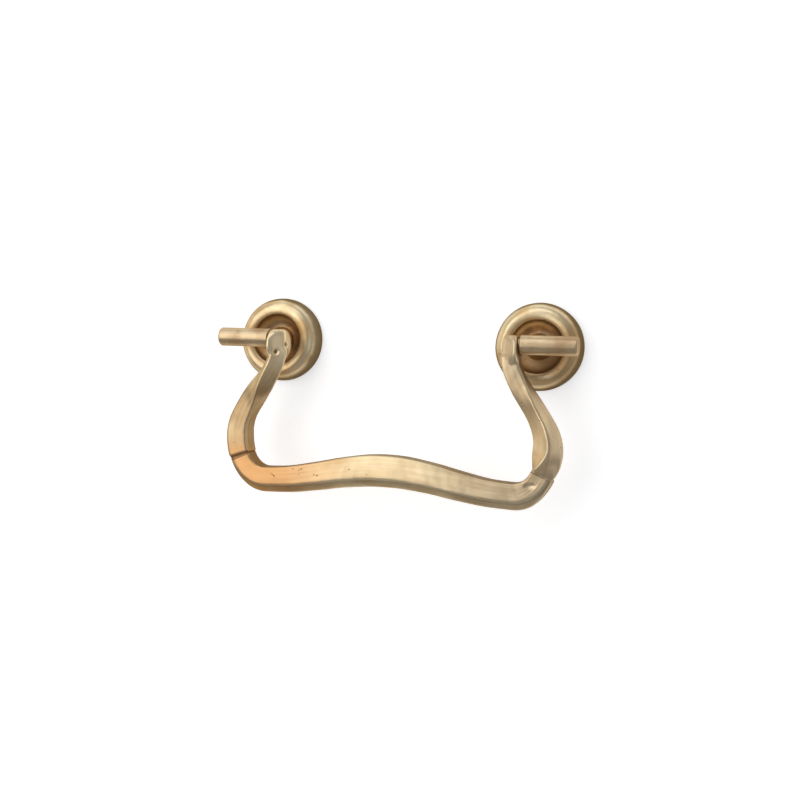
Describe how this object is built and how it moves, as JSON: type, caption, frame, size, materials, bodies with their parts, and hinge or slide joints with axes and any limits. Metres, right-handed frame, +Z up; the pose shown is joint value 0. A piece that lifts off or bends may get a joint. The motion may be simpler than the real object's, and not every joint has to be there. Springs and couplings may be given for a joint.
{
  "type": "bail pull",
  "caption": "Cast brass drawer pull: an ogee bail with flared arms swings in barrel posts that pass through dished round rosettes.",
  "frame": {"origin": "midway between the two posts, in the plane of the drawer front that the rosettes sit on", "axes": "+X to the right along the pull, +Y into the drawer front along the studs, +Z up; the bail hangs down in -Z"},
  "size_m": [0.1014, 0.0453, 0.0556],
  "materials": {
    "bail_brass": "satin polished",
    "rosette_brass": "polished, dark in the dish",
    "post_brass": "polished",
    "plated_steel": "zinc plated"
  },
  "bodies": {
    "fixture": {"left_rosette": "rosette_brass", "right_rosette": "rosette_brass", "left_post": "post_brass", "right_post": "post_brass", "left_washer": "plated_steel", "right_washer": "plated_steel", "left_nut": "plated_steel", "right_nut": "plated_steel"},
    "bail": {"bail": "bail_brass"}
  },
  "joints": [
    {"name": "bail_swing", "type": "hinge", "parent": "fixture", "child": "bail", "pos_m": [0, -0.0158, 0], "axis": [-1, 0, 0], "range_deg": [-17, 197]}
  ]
}
